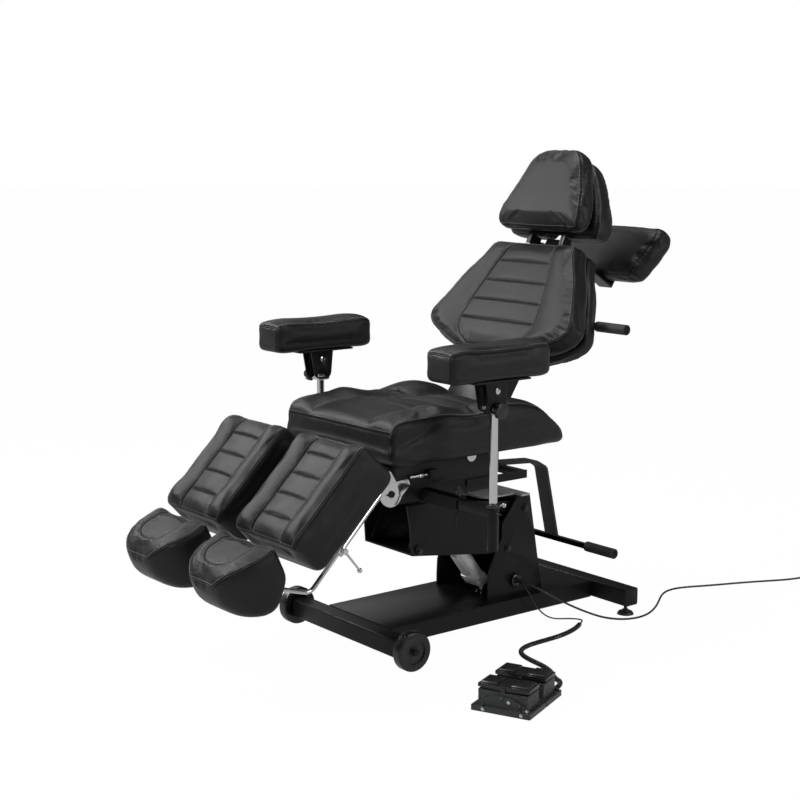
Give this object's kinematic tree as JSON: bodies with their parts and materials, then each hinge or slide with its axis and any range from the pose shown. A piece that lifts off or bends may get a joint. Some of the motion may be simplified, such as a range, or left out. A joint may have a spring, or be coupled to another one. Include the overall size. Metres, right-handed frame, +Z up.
{
  "type": "tattoo chair",
  "caption": "Reclining client chair with cushioned seat, back, split leg rests, armrests and headrest on a motorised lift with a turning frame, base, foot switch and leads.",
  "frame": {"origin": "on the floor, under the middle of the base", "axes": "+Z up, -X toward the foot end and its wheels, +X toward the head end, -Y to the side that the foot switch and the leads are on"},
  "size_m": [2.6369, 1.3607, 1.5834],
  "materials": {
    "upholstery": "soft black synthetic leather with a low sheen and stitched seams",
    "frame_paint": "satin black powder coat",
    "cover_grey": "light grey satin plate",
    "chrome_steel": "polished chrome plate",
    "pin_steel": "bright turned steel",
    "motor_case": "pale grey enamel",
    "black_motor": "matt black moulding",
    "grip_black": "matt black bar and grips",
    "knob_black": "glossy black moulding",
    "wheel_black": "black moulded wheel",
    "foot_black": "dull black rubber",
    "pedal_case": "grey black hammered enamel",
    "pedal_tread": "black moulded treads",
    "cord_black": "black rubber sheath"
  },
  "bodies": {
    "base": {"base_frame": "frame_paint", "pedestal": "frame_paint", "pedestal_cover": "cover_grey", "cable_grommet": "foot_black", "pedal_base": "pedal_case", "mains_cord": "cord_black", "mains_coil": "cord_black", "mains_plug": "cord_black", "pedal_lead": "cord_black", "pedal_curl": "cord_black"},
    "lift_arm": {"lift_arm": "frame_paint"},
    "upper_link": {"upper_link": "frame_paint"},
    "carrier": {"carrier": "frame_paint"},
    "lift_motor": {"lift_motor": "motor_case"},
    "lift_rod": {"lift_rod": "pin_steel"},
    "seat": {"swivel_frame": "frame_paint", "seat_pan": "frame_paint", "seat_cushion": "upholstery", "hinge_pins": "pin_steel", "back_motor": "black_motor", "foot_bar": "grip_black"},
    "back_rod": {"back_rod": "pin_steel"},
    "back": {"back_column": "frame_paint", "back_cushion_front": "upholstery", "back_cushion_rear": "upholstery", "handle_bar": "grip_black", "rear_rest_arm": "frame_paint", "rear_rest_pad": "upholstery"},
    "headrest_rods": {"headrest_rods": "chrome_steel"},
    "headrest": {"headrest_plate": "frame_paint", "headrest_pad_front": "upholstery", "headrest_pad_rear": "upholstery"},
    "rocker_front": {"pedal_rocker_front": "pedal_tread"},
    "rocker_rear": {"pedal_rocker_rear": "pedal_tread"},
    "wheel_left": {"wheel_left": "wheel_black"},
    "level_foot_left": {"level_foot_left": "foot_black"},
    "arm_beam_left": {"arm_beam_left": "frame_paint"},
    "arm_post_left": {"arm_post_left": "chrome_steel"},
    "armrest_left": {"arm_bracket_left": "frame_paint", "arm_pad_left": "upholstery"},
    "tilt_knob_left": {"tilt_knob_left": "knob_black"},
    "beam_knob_left": {"beam_knob_left": "knob_black"},
    "leg_left": {"leg_frame_left": "chrome_steel", "leg_pad_left": "upholstery"},
    "foot_left": {"leg_rod_left": "chrome_steel", "foot_pad_left": "upholstery"},
    "lever_left": {"leg_lever_left": "chrome_steel"},
    "wheel_right": {"wheel_right": "wheel_black"},
    "level_foot_right": {"level_foot_right": "foot_black"},
    "arm_beam_right": {"arm_beam_right": "frame_paint"},
    "arm_post_right": {"arm_post_right": "chrome_steel"},
    "armrest_right": {"arm_bracket_right": "frame_paint", "arm_pad_right": "upholstery"},
    "tilt_knob_right": {"tilt_knob_right": "knob_black"},
    "beam_knob_right": {"beam_knob_right": "knob_black"},
    "leg_right": {"leg_frame_right": "chrome_steel", "leg_pad_right": "upholstery"},
    "foot_right": {"leg_rod_right": "chrome_steel", "foot_pad_right": "upholstery"},
    "lever_right": {"leg_lever_right": "chrome_steel"}
  },
  "joints": [
    {"name": "lift", "type": "hinge", "parent": "base", "child": "lift_arm", "pos_m": [0.076, 0, 0.262], "axis": [0, 1, 0], "range_deg": [-5, 30]},
    {"name": "upper_link_turn", "type": "hinge", "parent": "base", "child": "upper_link", "pos_m": [0.152, 0, 0.389], "axis": [0, 1, 0], "range_deg": [-5.5, 30.5]},
    {"name": "carrier_level", "type": "hinge", "parent": "lift_arm", "child": "carrier", "pos_m": [-0.30011, 0, 0.3162], "axis": [0, 1, 0], "range_deg": [-30.5, 5.5]},
    {"name": "lift_motor_tilt", "type": "hinge", "parent": "base", "child": "lift_motor", "pos_m": [0.064, 0, 0.108], "axis": [0, 1, 0], "range_deg": [-3.5, 17.5]},
    {"name": "lift_rod_slide", "type": "slide", "parent": "lift_motor", "child": "lift_rod", "axis": [-0.5942, 0, 0.8043], "range_m": [-0.0078, 0.0445]},
    {"name": "seat_turn", "type": "hinge", "parent": "carrier", "child": "seat", "pos_m": [-0.17011, 0, 0.466], "axis": [0, 0, 1], "range_deg": [-120, 75]},
    {"name": "back_recline", "type": "hinge", "parent": "seat", "child": "back", "pos_m": [-0.04011, 0, 0.6], "axis": [0, 1, 0], "range_deg": [-6, 50]},
    {"name": "back_rod_slide", "type": "slide", "parent": "seat", "child": "back_rod", "axis": [1, 0, 0], "range_m": [-0.0555, 0.0072]},
    {"name": "headrest_height", "type": "slide", "parent": "back", "child": "headrest_rods", "axis": [0.5476, 0, 0.8368], "range_m": [0, 0.06]},
    {"name": "headrest_tilt", "type": "hinge", "parent": "headrest_rods", "child": "headrest", "pos_m": [0.39794, 0, 1.24969], "axis": [0, 1, 0], "range_deg": [-15, 20]},
    {"name": "wheel_left_spin", "type": "hinge", "parent": "base", "child": "wheel_left", "pos_m": [-0.4725, -0.3, 0.0625], "axis": [0, 1, 0], "continuous": true},
    {"name": "level_left_height", "type": "slide", "parent": "base", "child": "level_foot_left", "axis": [0, 0, 1], "range_m": [0, 0.012]},
    {"name": "arm_left_reach", "type": "slide", "parent": "seat", "child": "arm_beam_left", "axis": [0, -1, 0], "range_m": [-0.06, 0.08]},
    {"name": "arm_left_height", "type": "slide", "parent": "arm_beam_left", "child": "arm_post_left", "axis": [0, 0, 1], "range_m": [0, 0.07]},
    {"name": "arm_left_tilt", "type": "hinge", "parent": "arm_post_left", "child": "armrest_left", "pos_m": [-0.28111, -0.45, 0.87], "axis": [0, 1, 0], "range_deg": [-12, 12]},
    {"name": "tilt_knob_left_turn", "type": "hinge", "parent": "arm_post_left", "child": "tilt_knob_left", "pos_m": [-0.28111, -0.45, 0.813], "axis": [0, 1, 0], "continuous": true},
    {"name": "beam_knob_left_turn", "type": "hinge", "parent": "seat", "child": "beam_knob_left", "pos_m": [-0.27011, -0.28, 0.513], "axis": [0, -0.7071, 0.7071], "continuous": true},
    {"name": "leg_left_lift", "type": "hinge", "parent": "seat", "child": "leg_left", "pos_m": [-0.51111, 0, 0.55], "axis": [0, 1, 0], "range_deg": [-25, 25]},
    {"name": "foot_left_reach", "type": "slide", "parent": "leg_left", "child": "foot_left", "axis": [-0.7022, 0, -0.712], "range_m": [0, 0.09]},
    {"name": "lever_left_turn", "type": "hinge", "parent": "leg_left", "child": "lever_left", "pos_m": [-0.70246, -0.258, 0.40724], "axis": [0, 1, 0], "range_deg": [-60, 20]},
    {"name": "wheel_right_spin", "type": "hinge", "parent": "base", "child": "wheel_right", "pos_m": [-0.4725, 0.3, 0.0625], "axis": [0, 1, 0], "continuous": true},
    {"name": "level_right_height", "type": "slide", "parent": "base", "child": "level_foot_right", "axis": [0, 0, 1], "range_m": [0, 0.012]},
    {"name": "arm_right_reach", "type": "slide", "parent": "seat", "child": "arm_beam_right", "axis": [0, 1, 0], "range_m": [-0.06, 0.08]},
    {"name": "arm_right_height", "type": "slide", "parent": "arm_beam_right", "child": "arm_post_right", "axis": [0, 0, 1], "range_m": [0, 0.07]},
    {"name": "arm_right_tilt", "type": "hinge", "parent": "arm_post_right", "child": "armrest_right", "pos_m": [-0.28111, 0.45, 0.87], "axis": [0, 1, 0], "range_deg": [-12, 12]},
    {"name": "tilt_knob_right_turn", "type": "hinge", "parent": "arm_post_right", "child": "tilt_knob_right", "pos_m": [-0.28111, 0.45, 0.813], "axis": [0, 1, 0], "continuous": true},
    {"name": "beam_knob_right_turn", "type": "hinge", "parent": "seat", "child": "beam_knob_right", "pos_m": [-0.27011, 0.28, 0.513], "axis": [0, 0.7071, 0.7071], "continuous": true},
    {"name": "leg_right_lift", "type": "hinge", "parent": "seat", "child": "leg_right", "pos_m": [-0.51111, 0, 0.55], "axis": [0, 1, 0], "range_deg": [-25, 25]},
    {"name": "foot_right_reach", "type": "slide", "parent": "leg_right", "child": "foot_right", "axis": [-0.7022, 0, -0.712], "range_m": [0, 0.09]},
    {"name": "lever_right_turn", "type": "hinge", "parent": "leg_right", "child": "lever_right", "pos_m": [-0.70246, 0.258, 0.40724], "axis": [0, 1, 0], "range_deg": [-60, 20]},
    {"name": "rocker_front_press", "type": "hinge", "parent": "base", "child": "rocker_front", "pos_m": [-0.45802, -0.73621, 0.065], "axis": [0.9157, 0.4019, 0], "range_deg": [-3.8, 3.8], "stiffness_Nm_per_rad": 6},
    {"name": "rocker_rear_press", "type": "hinge", "parent": "base", "child": "rocker_rear", "pos_m": [-0.34998, -0.68879, 0.065], "axis": [0.9157, 0.4019, 0], "range_deg": [-3.8, 3.8], "stiffness_Nm_per_rad": 6}
  ],
  "couplings": [
    {"joint": "upper_link_turn", "follows": "lift", "ratio": 1},
    {"joint": "carrier_level", "follows": "lift", "ratio": -1},
    {"joint": "lift_motor_tilt", "follows": "lift", "ratio": 0.567},
    {"joint": "lift_rod_slide", "follows": "lift", "m_per_rad": 0.0825},
    {"joint": "back_rod_slide", "follows": "back_recline", "m_per_rad": -0.063}
  ]
}
